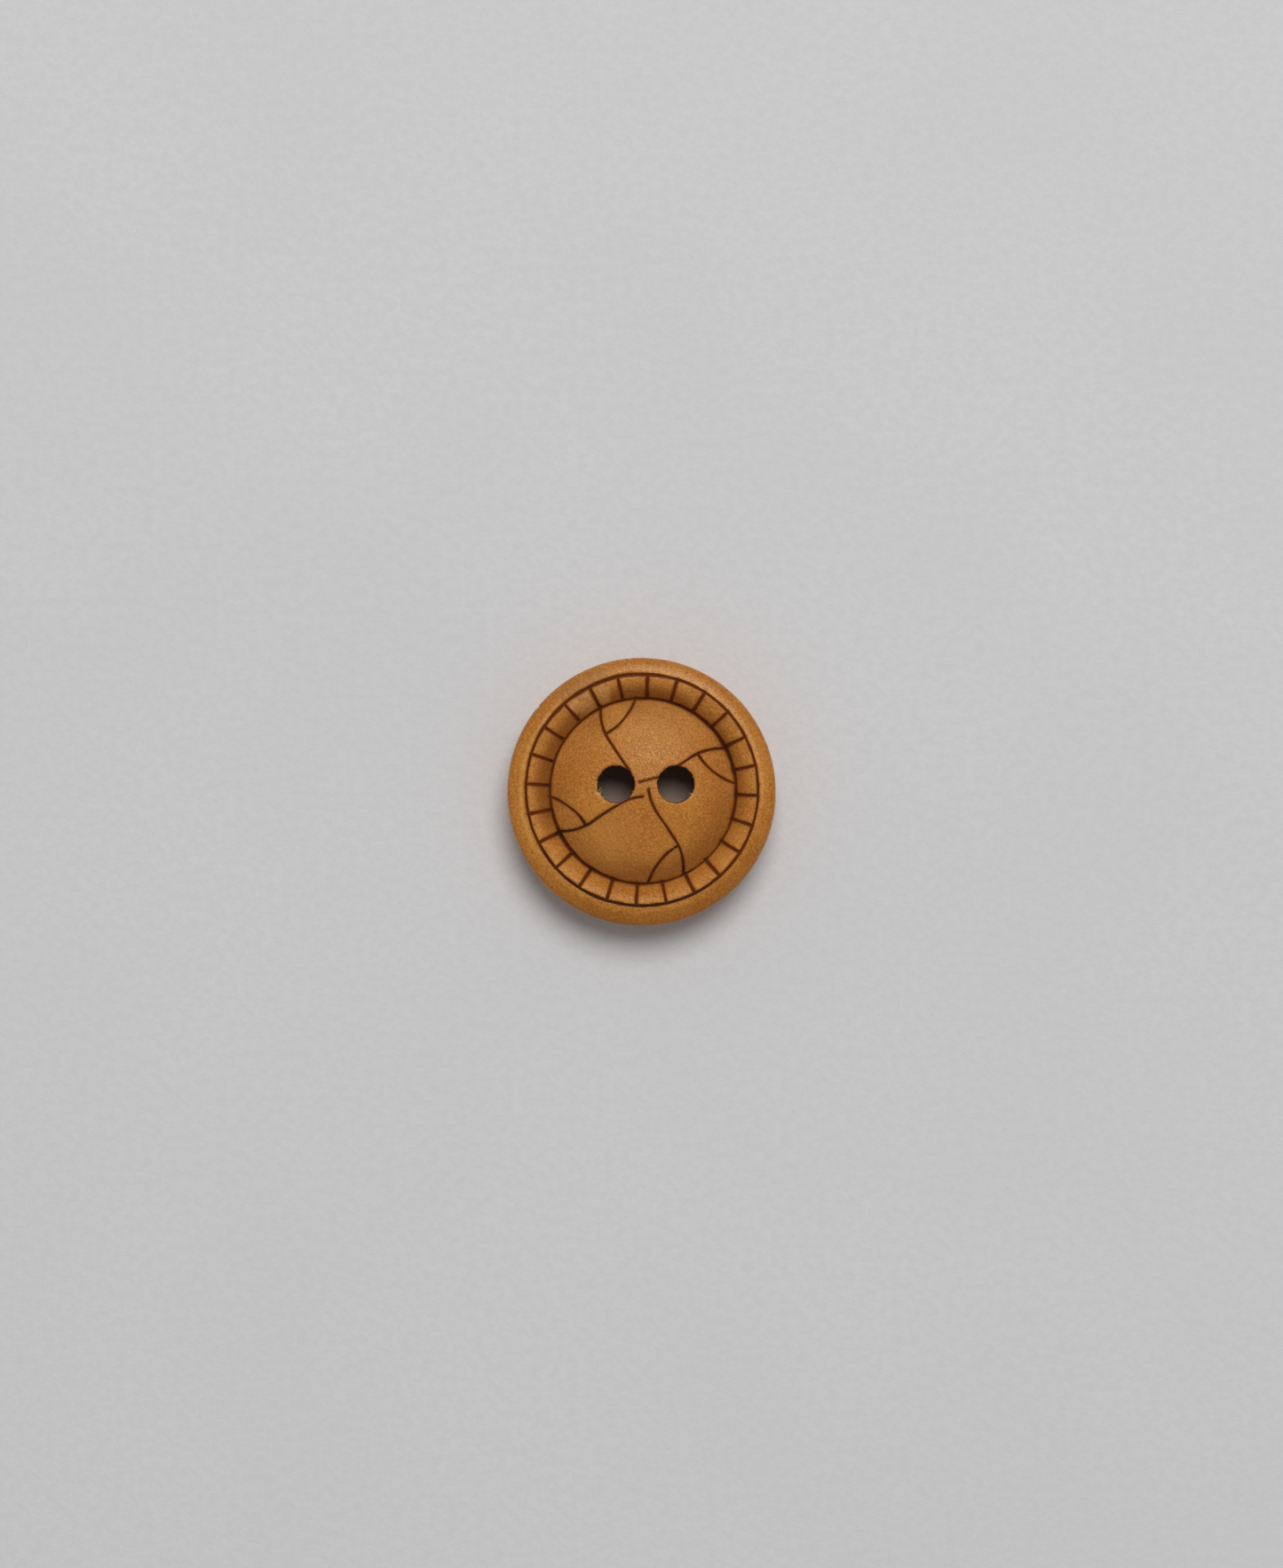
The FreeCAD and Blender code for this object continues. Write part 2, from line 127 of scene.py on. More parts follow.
def bell(distance, width):
    return np.exp(-(distance / width) ** 2)


def distance_to(points, place):
    return np.hypot(*(points - np.asarray(place)).T)


def heading(angle):
    return np.array((math.cos(angle), math.sin(angle)))


def polar(points):
    """Each point's distance from the axis, and its direction from there."""
    return np.hypot(points[:, 0], points[:, 1]), np.arctan2(points[:, 1], points[:, 0])


def towards(around, degrees, low, high):
    """1 for directions near the given one and 0 far from it, by the cosine of the turn between."""
    return smooth_step(low, high, np.cos(around - math.radians(degrees)))


class Noise:
    """Smooth seeded noise in the plane, between -1 and 1."""

    SIZE = 256

    def __init__(self, seed):
        self.table = np.random.default_rng(seed).uniform(-1, 1, (self.SIZE, self.SIZE))

    def __call__(self, points, scale):
        place = points / scale + self.SIZE / 2
        cell = np.floor(place).astype(int)
        t = place - cell
        t = t * t * (3 - 2 * t)
        x0, y0 = cell[:, 0] % self.SIZE, cell[:, 1] % self.SIZE
        x1, y1 = (x0 + 1) % self.SIZE, (y0 + 1) % self.SIZE
        low = self.table[x0, y0] * (1 - t[:, 0]) + self.table[x1, y0] * t[:, 0]
        high = self.table[x0, y1] * (1 - t[:, 0]) + self.table[x1, y1] * t[:, 0]
        return low * (1 - t[:, 1]) + high * t[:, 1]


wobble_x, wobble_y, width_noise, ragged, swell, edge_noise = (Noise(SEED + i) for i in range(6))


# ---- the turned shape -------------------------------------------------------------------------

def turned_profile():
    """The half-section's shoulder height and tilt, the top of its wall, and the dome's radius."""
    reach = DISC_RADIUS - SHOULDER_ROUNDING - CREST_RADIUS
    rise = math.sqrt((RIM_OUTER_ROUNDING - SHOULDER_ROUNDING) ** 2 - reach ** 2)
    shoulder_height = RIM_HEIGHT - RIM_OUTER_ROUNDING + rise
    shoulder_tilt = math.atan2(reach, rise)
    wall_top = (CREST_RADIUS - RIM_INNER_ROUNDING * math.sin(WALL_SLOPE),
                RIM_HEIGHT - RIM_INNER_ROUNDING * (1 - math.cos(WALL_SLOPE)))
    channel_height = wall_top[1] - (wall_top[0] - CHANNEL_RADIUS) * math.tan(WALL_SLOPE)
    sag = CENTRE_HEIGHT - channel_height
    dome_radius = (CHANNEL_RADIUS ** 2 + sag ** 2) / (2 * sag)
    return shoulder_height, shoulder_tilt, wall_top, dome_radius


SHOULDER_HEIGHT, SHOULDER_TILT, WALL_TOP, DOME_RADIUS = turned_profile()
SHOULDER_START = CREST_RADIUS + RIM_OUTER_ROUNDING * math.sin(SHOULDER_TILT)


def arc_height(radius, middle_height, offset):
    return middle_height + np.sqrt(np.maximum(radius ** 2 - offset ** 2, 0))


def turned_height(r):
    """Height of the turned face at a distance from the axis."""
    dome = arc_height(DOME_RADIUS, CENTRE_HEIGHT - DOME_RADIUS, np.minimum(r, DOME_RADIUS))
    wall = WALL_TOP[1] - (WALL_TOP[0] - r) * math.tan(WALL_SLOPE)
    channel = (dome + wall + np.sqrt((dome - wall) ** 2 + CHANNEL_SOFTNESS ** 2)) / 2
    inner = arc_height(RIM_INNER_ROUNDING, RIM_HEIGHT - RIM_INNER_ROUNDING, r - CREST_RADIUS)
    outer = arc_height(RIM_OUTER_ROUNDING, RIM_HEIGHT - RIM_OUTER_ROUNDING, r - CREST_RADIUS)
    shoulder = arc_height(SHOULDER_ROUNDING, SHOULDER_HEIGHT, r - (DISC_RADIUS - SHOULDER_ROUNDING))
    return np.select([r < WALL_TOP[0], r < CREST_RADIUS, r < SHOULDER_START],
                     [channel, inner, outer], shoulder)


# ---- the burnt lines --------------------------------------------------------------------------

def row_offsets(width):
    """Distances from a line's middle at which the mesh gets a row of points."""
    return sorted({side * row * width / 2 for row in LINE_ROWS for side in (-1, 1)})


class Arc:
    """An arc that runs counter-clockwise from one direction to another."""

    def __init__(self, centre, radius, start, end, width):
        self.centre, self.radius, self.width = centre, radius, width
        self.start, self.sweep = start, end - start

    def at(self, direction, offset=0):
        outward = np.stack((np.cos(direction), np.sin(direction)), -1)
        return self.centre + (self.radius + offset) * outward

    def distance(self, points):
        away = points - self.centre
        turn = (np.arctan2(away[:, 1], away[:, 0]) - self.start) % WHOLE_TURN
        from_arc = np.abs(np.hypot(*away.T) - self.radius)
        from_ends = [distance_to(points, self.at(self.start + part)) for part in (0, self.sweep)]
        return np.where(turn <= self.sweep, from_arc, np.minimum(*from_ends))

    def rows(self):
        """Points along the arc, and along lines beside it."""
        count = max(2, round(self.sweep * self.radius / LINE_SPACING))
        closed = self.sweep > WHOLE_TURN - 0.001
        turns = self.start + self.sweep * np.linspace(0, 1, count, endpoint=not closed)
        return np.concatenate([self.at(turns, offset) for offset in row_offsets(self.width)])


class Segment:
    """A straight line between two points."""

    def __init__(self, start, end, width):
        self.start, self.width = start, width
        self.length = math.dist(start, end)
        self.along = (end - start) / self.length
        self.across = np.array((-self.along[1], self.along[0]))

    def distance(self, points):
        away = points - self.start
        reach = np.clip(away @ self.along, 0, self.length)
        return np.hypot(*(away - reach[:, None] * self.along).T)

    def rows(self):
        """Points along the line, and along lines beside it."""
        count = max(2, round(self.length / LINE_SPACING))
        middle = self.start + np.linspace(0, self.length, count)[:, None] * self.along
        return np.concatenate([middle + offset * self.across for offset in row_offsets(self.width)])


def placed(direction, point):
    """A point given along and across a strand's direction, in the button's own directions."""
    along = heading(direction)
    return PATTERN_CENTRE + point[0] * along + point[1] * np.array((-along[1], along[0]))


def strand(direction, inner_turn):
    """One strand of the plait: a bend, a straight stretch, the other bend, and its leaf line."""
    inner_bend, outer_bend, inner_radius, outer_radius = 1.7, 3.9, 2.76, 3.68
    outer_turn = math.radians(38.7)
    leaf_centre, leaf_radius = (9.02, -0.29), 4.58
    leaf_start, leaf_end = math.radians(177.3), math.radians(218)
    down, up = direction + WHOLE_TURN - QUARTER_TURN, direction + QUARTER_TURN
    return [
        Arc(placed(direction, (inner_bend, inner_radius)), inner_radius, down - inner_turn, down,
            STRAND_WIDTH),
        Segment(placed(direction, (inner_bend, 0)), placed(direction, (outer_bend, 0)),
                STRAND_WIDTH),
        Arc(placed(direction, (outer_bend, -outer_radius)), outer_radius, up - outer_turn, up,
            STRAND_WIDTH),
        Arc(placed(direction, leaf_centre), leaf_radius, direction + leaf_start,
            direction + leaf_end, STRAND_WIDTH),
    ]


def tick(direction):
    """One short radial line from the channel to the outer ring."""
    outward = heading(direction)
    return Segment(PATTERN_CENTRE + (CHANNEL_RADIUS + 0.08) * outward,
                   PATTERN_CENTRE + OUTER_RING_RADIUS * outward, TICK_WIDTH)


tick_directions = [TICK_DIRECTION + WHOLE_TURN * i / TICK_COUNT for i in range(TICK_COUNT)]
plait_directions = [PLAIT_DIRECTION + WHOLE_TURN * i / PLAIT_COUNT for i in range(PLAIT_COUNT)]
outer_ring = Arc(PATTERN_CENTRE, OUTER_RING_RADIUS, 0, WHOLE_TURN, OUTER_RING_WIDTH)
channel_ring = Arc(CHANNEL_RING_CENTRE, CHANNEL_RING_RADIUS, 0, WHOLE_TURN, CHANNEL_RING_WIDTH)
ticks = [tick(direction) for direction in tick_directions]
strand_turns = [math.radians(turn) for turn in (34.2, 10, 32, 31.6)]  # a hole cut the second
strands = [line for direction, turn in zip(plait_directions, strand_turns)
           for line in strand(direction, turn)]
burnt_lines = [outer_ring, channel_ring, *ticks, *strands]

# Where the burning went slower and left the line wider and blacker: place, reach, strength.
HEAVY_BURNS = [((2.9, -5.1), 0.55, 0.7), ((2.75, -4.4), 0.5, 0.3), ((0.95, -5.0), 0.8, 0.4),
               ((0.5, -5.9), 0.35, 0.5), ((1.7, -4.05), 0.4, 0.3), ((2.32, -3.7), 0.1, 0.5),
               ((-3.3, -5.15), 0.3, 0.3), ((4.6, 1.75), 0.12, 0.3), ((-4.6, -2.5), 0.8, 0.3),
               ((-5.4, -2.8), 0.45, 0.6), ((5.2, 2.85), 0.5, 0.25), ((-2.5, -1.4), 0.8, 0.35),
               ((-3.7, -2.1), 0.8, 0.35), ((2.6, -3.5), 0.6, 0.25), ((4.0, 2.75), 1.1, 0.25)]

# Where the line strayed from its course: place, shift and reach.
SLIPS = [((0.55, 0.75), (-0.085, 0.13), 0.8), ((-2.6, -1.65), (-0.06, 0.1), 1.4),
         ((-0.3, 0.95), (-0.03, -0.05), 0.3), ((0.5, 7.9), (0, -0.045), 3.0),
         ((-3.4, 7.1), (0.02, -0.04), 1.2), ((-7.0, 3.6), (-0.03, 0.015), 1.6),
         ((-0.6, -7.6), (0, 0.03), 2.0)]


def heavy_burn(points):
    """How slowly the burning went: 0 in most places, near 1 in the darkest."""
    heavy = np.zeros(len(points))
    for place, reach, strength in HEAVY_BURNS:
        heavy += strength * bell(distance_to(points, place), reach)
    for direction in tick_directions:
        inner_end = PATTERN_CENTRE + (CHANNEL_RADIUS + 0.05) * heading(direction)
        heavy += 0.45 * bell(distance_to(points, inner_end), 0.26)
        outer_end = PATTERN_CENTRE + OUTER_RING_RADIUS * heading(direction)
        heavy += 0.18 * bell(distance_to(points, outer_end), 0.16)
    return np.minimum(heavy, 1)


def burn(points):
    """How far into a burnt line each point lies, 1 in its middle, and how much it is scorched."""
    warped = points + 0.016 * np.stack((wobble_x(points, 0.8), wobble_y(points, 0.8)), -1)
    for place, shift, reach in SLIPS:
        warped -= bell(distance_to(points, place), reach)[:, None] * np.array(shift)
    spread = 1 + 0.2 * width_noise(points, 0.5) + 0.3 * heavy_burn(points)
    _, around = polar(points)
    near = {side: towards(around, side, 0.7, 1) for side in (15, 116, 250, 305)}
    breadths = {id(outer_ring): 0.99 - 0.06 * np.cos(2 * around) + 0.3 * near[116]
                + 0.12 * near[250],
                id(channel_ring): 0.76 + 0.2 * np.cos(2 * (around - RING_HEAVY_SIDE))
                + 0.12 * near[15] - 0.14 * near[305]}
    groove = np.zeros(len(points))
    scorch = np.zeros(len(points))
    for line in burnt_lines:
        width = line.width * spread * breadths.get(id(line), 1)
        reach = line.distance(warped) / (width / 2)
        groove = np.maximum(groove, 1 - np.minimum(reach, 1) ** 2)
        scorch = np.maximum(scorch, np.exp(-np.maximum(reach - 0.8, 0) / 0.6))
    return groove, scorch


# ---- broken wood ------------------------------------------------------------------------------

# Where the drill and the burning broke small pieces out: place, direction, half length, half
# width and depth of each tear. A negative depth is a splinter that stands up.
TEARS = [
    ((-2.86, -0.12), 128, 0.5, 0.14, 0.22),
    ((-2.62, -0.2), 118, 0.42, 0.05, -0.05),
    ((-2.5, -0.58), 128, 0.26, 0.1, 0.14),
    ((-0.6, 0.02), 62, 0.28, 0.12, 0.18),
    ((3.3, -0.22), 48, 0.34, 0.13, 0.18),
    ((3.2, -0.4), 52, 0.2, 0.04, -0.05),
    ((3.5, 0.1), 75, 0.16, 0.08, 0.1),
    ((2.15, -3.79), 125, 0.13, 0.06, -0.05),
    ((-6.98, 5.7), 230, 0.2, 0.07, 0.1),
    ((-2.23, 1.93), 112, 0.13, 0.03, -0.02),
    ((-2.52, 1.83), 121, 0.16, 0.03, -0.025),
    ((-2.74, 1.62), 131, 0.12, 0.03, -0.02),
    ((-2.93, 1.46), 139, 0.14, 0.03, -0.02),
]


def torn(points):
    """Depth of the small tears, and a mask of their raw wood."""
    depth = np.zeros(len(points))
    mask = np.zeros(len(points))
    for place, direction, length, width, deep in TEARS:
        along = heading(math.radians(direction))
        away = points - np.array(place)
        u = away @ along / length
        v = away @ np.array((-along[1], along[0])) / width
        reach = np.hypot(u, v) + 0.3 * ragged(points, 0.09)
        inside = 1 - smooth_step(0.55, 1.0, reach)
        depth += deep * inside * (1 + 0.5 * ragged(points, 0.05))
        mask = np.maximum(mask, inside)
    return depth, mask


def lifted(points):
    """The stretch of rim and channel where the lathe lifted the fibres."""
    r, around = polar(points)
    around = np.degrees(around) + 4 * ragged(points, 0.8)
    sector = smooth_step(106, 111, around) * (1 - smooth_step(128, 134, around))
    return sector * smooth_step(6.2, 6.5, r) * (1 - smooth_step(8.5, 8.95, r))


def inside_rim(points):
    """1 inside the outer ring and 0 outside it."""
    return 1 - smooth_step(7.5, 7.9, np.hypot(*points.T))


def dulled(points):
    """The rim's part of the lifted stretch, and the smudge at its right end."""
    return np.maximum(0.55 * lifted(points) * (1 - inside_rim(points)),
                      0.9 * bell(distance_to(points, (-3.0, 7.85)), 0.45))


# ---- the mesh ---------------------------------------------------------------------------------

def hole_distance(points, hole_radius=HOLE_RADIUS):
    """Distance outside the nearer hole's edge."""
    return np.minimum(*(distance_to(points, centre) for centre in HOLE_CENTRES)) - hole_radius


def lifted_fibres(points):
    """Shallow furrows along the grain."""
    across = points @ np.array((-math.sin(GRAIN_DIRECTION), math.cos(GRAIN_DIRECTION)))
    along = points @ heading(GRAIN_DIRECTION)
    return ragged(np.stack((along * 0.2, across), -1), 0.11)


def face_height(points):
    """Height of the finished face: turned, burnt, drilled and torn."""
    r = np.hypot(*points.T)
    groove, _ = burn(points)
    tear, _ = torn(points)
    edge = np.clip(1 - hole_distance(points) / FRONT_EDGE_ROUNDING, 0, 1)
    edge_drop = FRONT_EDGE_ROUNDING * (1 - np.sqrt(np.maximum(1 - edge ** 2, 0)))
    tool_marks = 0.002 * np.sin(WHOLE_TURN * r / 0.31 + 0.6 * swell(points, 2.5))
    unevenness = 0.006 * swell(points, 1.9) + 0.003 * edge_noise(points, 0.6)
    furrows = 0.012 * lifted_fibres(points) * lifted(points)
    height = turned_height(r) + tool_marks + unevenness + furrows
    return height - BURN_DEPTH * groove ** 1.5 - tear - edge_drop


def circle(radius, count, centre=(0, 0)):
    turns = np.linspace(0, WHOLE_TURN, count, endpoint=False)
    return np.asarray(centre) + radius * np.stack((np.cos(turns), np.sin(turns)), -1)


def triangular_grid(spacing):
    columns = np.arange(-DISC_RADIUS, DISC_RADIUS, spacing)
    lines = np.arange(-DISC_RADIUS, DISC_RADIUS, spacing * math.sqrt(3) / 2)
    rows = [np.stack((columns + spacing / 2 * (index % 2), np.full(len(columns), y)), -1)
            for index, y in enumerate(lines)]
    return np.concatenate(rows)


def thinned(points, spacing):
    """Drops each point that shares a small cell with an earlier one."""
    cells = np.floor(points / spacing).astype(int)
    _, first = np.unique(cells, axis=0, return_index=True)
    return points[np.sort(first)]


def face_points():
    """Where the face is sampled: along the lines, round the turned shapes, and evenly between."""
    beside_lines = np.concatenate([line.rows() for line in burnt_lines])
    channel = [circle(CHANNEL_RADIUS + offset, EDGE_SEGMENTS) for offset in (-0.06, 0, 0.06)]
    tears = [circle(part * length, round(14 + 30 * part), place)
             for place, _, length, _, _ in TEARS for part in (0.15, 0.35, 0.55, 0.75, 0.95)]
    fine = thinned(np.concatenate([beside_lines, *channel, *tears]), FINEST_SPACING)
    grid = triangular_grid(FACE_SPACING)
    clear = np.abs(np.hypot(*grid.T) - CHANNEL_RADIUS) - 0.06
    for line in burnt_lines:
        clear = np.minimum(clear, line.distance(grid) - 0.6 * line.width)
    points = np.concatenate([fine, grid[clear > 0.03]])
    inside = (np.hypot(*points.T) < FRONT_EDGE_RADIUS - 0.03) & (hole_distance(points) > 0.13)
    rims = [circle(HOLE_RADIUS + offset, HOLE_SEGMENTS, centre) for centre in HOLE_CENTRES
            for offset in (0.008, 0.028, 0.055, 0.085, 0.12)]
    return np.concatenate([points[inside], *rims])


def back_points():
    points = triangular_grid(BACK_SPACING)
    clear = hole_distance(points, HOLE_RADIUS + BACK_EDGE_CHAMFER) > BACK_SPACING / 2
    return points[clear & (np.hypot(*points.T) < BACK_FLAT_RADIUS - BACK_SPACING / 2)]


def add_patch(mesh, points, outer_radius, hole_radius, height_of, upward):
    """A sheet of triangles between the outer circle and the edges of the holes."""
    edges = []
    rims = [circle(outer_radius, EDGE_SEGMENTS)]
    rims += [circle(hole_radius, HOLE_SEGMENTS, centre) for centre in HOLE_CENTRES]
    start = len(points)
    for rim in rims:
        edges += [(start + i, start + (i + 1) % len(rim)) for i in range(len(rim))]
        start += len(rim)
    points = [Vector(point) for point in np.concatenate([points, *rims])]
    points, _, faces, _, _, _ = delaunay_2d_cdt(points, edges, [], 0, SAME_POINT)
    points = np.array(points)
    middles = points[np.array(faces)].mean(axis=1)
    solid = (hole_distance(middles, hole_radius) > -0.0005) & (np.hypot(*middles.T) < outer_radius)
    corners = [mesh.verts.new((x, y, z)) for (x, y), z in zip(points, height_of(points))]
    for face, keep in zip(faces, solid):
        if keep:
            mesh.faces.new([corners[i] for i in (face if upward else reversed(face))])
    loose = [corner for corner in corners if not corner.link_faces]
    bmesh.ops.delete(mesh, geom=loose, context="VERTS")


def add_band(mesh, rings):
    """Quads between closed rings of points, each ring below the one before."""
    rows = [[mesh.verts.new(point) for point in ring] for ring in rings]
    for upper, lower in zip(rows, rows[1:]):
        for i in range(len(upper)):
            after = (i + 1) % len(upper)
            mesh.faces.new((upper[i], lower[i], lower[after], upper[after]))


def level_ring(radius, height):
    points = circle(radius, EDGE_SEGMENTS)
    return np.column_stack((points, np.full(len(points), height)))


def dented(ring):
    """A ring of the outside with the lathe's small unevenness and the torn edge."""
    _, around = polar(ring)
    place = np.stack((around * DISC_RADIUS, ring[:, 2]), -1)
    dent = 0.008 * (1 + edge_noise(place, 1.1)) + 0.003 * (1 + swell(place, 0.3))
    tear, _ = torn(ring[:, :2])
    high = smooth_step(1.5, 2.8, ring[:, 2])
    dent += (0.9 * tear + 0.012 * (1 + lifted_fibres(ring[:, :2])) * lifted(ring[:, :2])) * high
    ring[:, :2] *= (1 - dent / DISC_RADIUS)[:, None]
    return ring


def outside_rings():
    """From the face's edge over the shoulder, down the side and round to the back."""
    face_edge = circle(FRONT_EDGE_RADIUS, EDGE_SEGMENTS)
    rings = [np.column_stack((face_edge, face_height(face_edge)))]
    for radius in np.linspace(FRONT_EDGE_RADIUS, SHOULDER_START, 4)[1:]:
        rings.append(dented(level_ring(radius, turned_height(np.array([radius]))[0])))
    for angle in np.linspace(SHOULDER_TILT, QUARTER_TURN, 12)[1:]:
        radius = DISC_RADIUS + SHOULDER_ROUNDING * (math.sin(angle) - 1)
        rings.append(dented(level_ring(radius, SHOULDER_HEIGHT
                                       + SHOULDER_ROUNDING * math.cos(angle))))
    for height in np.linspace(SHOULDER_HEIGHT, BACK_ROUNDING, 16)[1:]:
        rings.append(dented(level_ring(DISC_RADIUS, height)))
    for angle in np.linspace(0, QUARTER_TURN, 14)[1:-1]:
        rings.append(dented(level_ring(BACK_FLAT_RADIUS + BACK_ROUNDING * math.cos(angle),
                                       BACK_ROUNDING * (1 - math.sin(angle)))))
    rings.append(level_ring(BACK_FLAT_RADIUS, 0))
    return rings


def hole_rings(centre):
    """The drilled wall, from the face down to the back's broken edge."""
    rim = circle(HOLE_RADIUS, HOLE_SEGMENTS, centre)
    outward = (rim - centre) / HOLE_RADIUS
    top = face_height(rim)
    turns = np.linspace(0, WHOLE_TURN, HOLE_SEGMENTS, endpoint=False)
    rings = [np.column_stack((rim, top))]
    for part in np.linspace(0, 1, HOLE_LEVELS)[1:-1]:
        height = top + (BACK_EDGE_CHAMFER - top) * part
        place = np.stack((np.cos(turns) * 2.5 + height, np.sin(turns) * 2.5 - height), -1)
        rough = 0.016 * (1 + ragged(place, 0.25)) * min(1, 6 * part, 6 * (1 - part))
        rings.append(np.column_stack((rim - outward * rough[:, None], height)))
    rings.append(np.column_stack((rim, np.full(HOLE_SEGMENTS, BACK_EDGE_CHAMFER))))
    back = circle(HOLE_RADIUS + BACK_EDGE_CHAMFER, HOLE_SEGMENTS, centre)
    rings.append(np.column_stack((back, np.zeros(HOLE_SEGMENTS))))
    return [ring[::-1] for ring in rings]


def add_splinter(mesh, hole, around, length, lean, width, drop):
    """A torn fibre that stands out from a hole's edge into the hole, tapered and bent."""
    centre = HOLE_CENTRES[hole]
    inward = -heading(math.radians(around))
    along = -heading(math.radians(around + lean))
    across = np.array((-along[1], along[0]))
    start = centre - inward * (HOLE_RADIUS + 0.05)
    top = face_height(start[None])[0] - drop
    rings = []
    for part in np.linspace(0, 1, SPLINTER_LEVELS):
        middle = start + along * length * part + across * 0.12 * length * part ** 2
        half = width / 2 * (1 - 0.8 * part)
        height = top + 0.35 * length * part - 0.3 * length * part ** 2
        turns = np.linspace(0, WHOLE_TURN, SPLINTER_SIDES, endpoint=False)
        rings.append([(*(middle + across * half * math.cos(turn)),
                       height + 0.7 * half * math.sin(turn)) for turn in turns])
    rows = [[mesh.verts.new(point) for point in ring] for ring in rings]
    for before, after in zip(rows, rows[1:]):
        for i in range(SPLINTER_SIDES):
            j = (i + 1) % SPLINTER_SIDES
            mesh.faces.new((before[i], before[j], after[j], after[i]))
    mesh.faces.new(rows[0][::-1])
    mesh.faces.new(rows[-1])


# Splinters: hole, degrees round it, length, lean in degrees, width and drop.
SPLINTERS = [(0, 204, 0.42, 34, 0.07, 0.05), (0, 210, 0.36, 20, 0.05, 0.12),
             (0, 216, 0.3, 48, 0.06, 0.02), (0, 223, 0.2, -30, 0.05, 0.08),
             (0, 230, 0.16, 30, 0.045, 0.02), (0, 141, 0.2, -35, 0.035, 0.05),
             (0, 326, 0.2, 30, 0.05, 0.05), (0, 336, 0.16, -20, 0.045, 0.03),
             (1, 318, 0.18, 25, 0.045, 0.04), (1, 325, 0.28, -25, 0.055, 0.03),
             (1, 332, 0.24, 35, 0.05, 0.07), (1, 341, 0.18, -15, 0.045, 0.04),
             (0, 95, 0.12, 40, 0.03, 0.02), (1, 70, 0.12, -30, 0.03, 0.02),
             (1, 128, 0.14, 40, 0.03, 0.03), (0, 62, 0.1, 20, 0.03, 0.02)]


def corners_of(data):
    corners = np.empty(len(data.vertices) * 3)
    data.vertices.foreach_get("co", corners)
    return corners.reshape(-1, 3)


def fray(data):
    """Makes the drilled edges of the face uneven."""
    corners = corners_of(data)
    points = corners[:, :2]
    near = bell(hole_distance(points), 0.14) * smooth_step(2.5, 4.0, corners[:, 2])
    near *= 0.4 + 0.6 * upper_hole_side(points)
    shift = 0.045 * near * (ragged(points + 30, 0.11) + 0.6 * ragged(points - 30, 0.05))
    outward = points - np.where((points[:, 0] < 0.3)[:, None], *HOLE_CENTRES)
    corners[:, :2] += shift[:, None] * outward / np.hypot(*outward.T)[:, None]
    data.vertices.foreach_set("co", corners.ravel())


def back_height(points):
    """The sawn back, with faint arcs of the saw between the edges that it rests on."""
    arcs = distance_to(points, (30, -12))
    edge = np.minimum(hole_distance(points, HOLE_RADIUS + BACK_EDGE_CHAMFER),
                      BACK_FLAT_RADIUS - np.hypot(*points.T))
    marks = 0.006 * (1 + np.sin(WHOLE_TURN * arcs / 0.9 + swell(points, 2)))
    return marks * smooth_step(0, 0.5, edge)


def button_shape():
    """The whole surface as one closed mesh, in millimetres."""
    mesh = bmesh.new()
    add_patch(mesh, face_points(), FRONT_EDGE_RADIUS, HOLE_RADIUS, face_height, upward=True)
    add_patch(mesh, back_points(), BACK_FLAT_RADIUS, HOLE_RADIUS + BACK_EDGE_CHAMFER, back_height,
              upward=False)
    add_band(mesh, outside_rings())
    for centre in HOLE_CENTRES:
        add_band(mesh, hole_rings(centre))
    bmesh.ops.remove_doubles(mesh, verts=mesh.verts, dist=MERGE_DISTANCE)
    for splinter in SPLINTERS:
        add_splinter(mesh, *splinter)
    data = bpy.data.meshes.new("button_wood")
    mesh.to_mesh(data)
    mesh.free()
    return data


# ---- what the wood went through, and painted light and shade, as values on the mesh's points ----

# Darker spots on the dome, near its crease: place, reach, strength.
DOME_DARK_SPOTS = [((-0.4, 5.9), 0.9, 0.5), ((-3.2, 4.7), 0.9, 0.5), ((-5.8, -0.5), 1.0, 0.5),
               ((0.5, -5.8), 1.0, 0.3), ((1.6, 4.8), 1.6, 0.25), ((2.9, -5.2), 1.0, 0.25)]


def stain_and_painted_shade(points):
    """Stain and painted shade: darker towards the crease and most on the lower right, in spots,
    on the channel's wall, on the rim's lower side and top, and round the outer edge.
    """
    r, around = polar(points)
    dome_side = smooth_step(3.8, 6.0, r) * (r < CHANNEL_RADIUS)
    # Painted shade: the dome's lower right, turned from the light, is darkened most.
    dome_side *= 0.25 + 0.75 * towards(around, 285, -0.2, 0.9)
    for place, reach, strength in DOME_DARK_SPOTS:
        dome_side += strength * bell(distance_to(points, place), reach) * (r < CHANNEL_RADIUS)
    wall_side = (1 - smooth_step(6.5, 7.6, r)) * (r >= CHANNEL_RADIUS)
    wall_side *= (0.25 + 1.05 * towards(around, 130, 0.1, 0.6)
                  + 0.4 * towards(around, 12, 0.7, 1))
    # Painted shade: the rim's lower side, sloping away from the light, is darkened, and its top a
    # little outside the highlight.
    rim_side = 0.65 * smooth_step(7.85, 8.25, r) * towards(around, 279.8, 0.1, 0.9)
    rim_side += 0.3 * smooth_step(8.15, 8.45, r) * towards(around, 85.9, 0.3, 1)
    edge = 0.3 * smooth_step(8.5, 8.9, r)
    return np.maximum.reduce((dome_side, wall_side * (1 - 0.8 * lifted(points)), rim_side, edge))


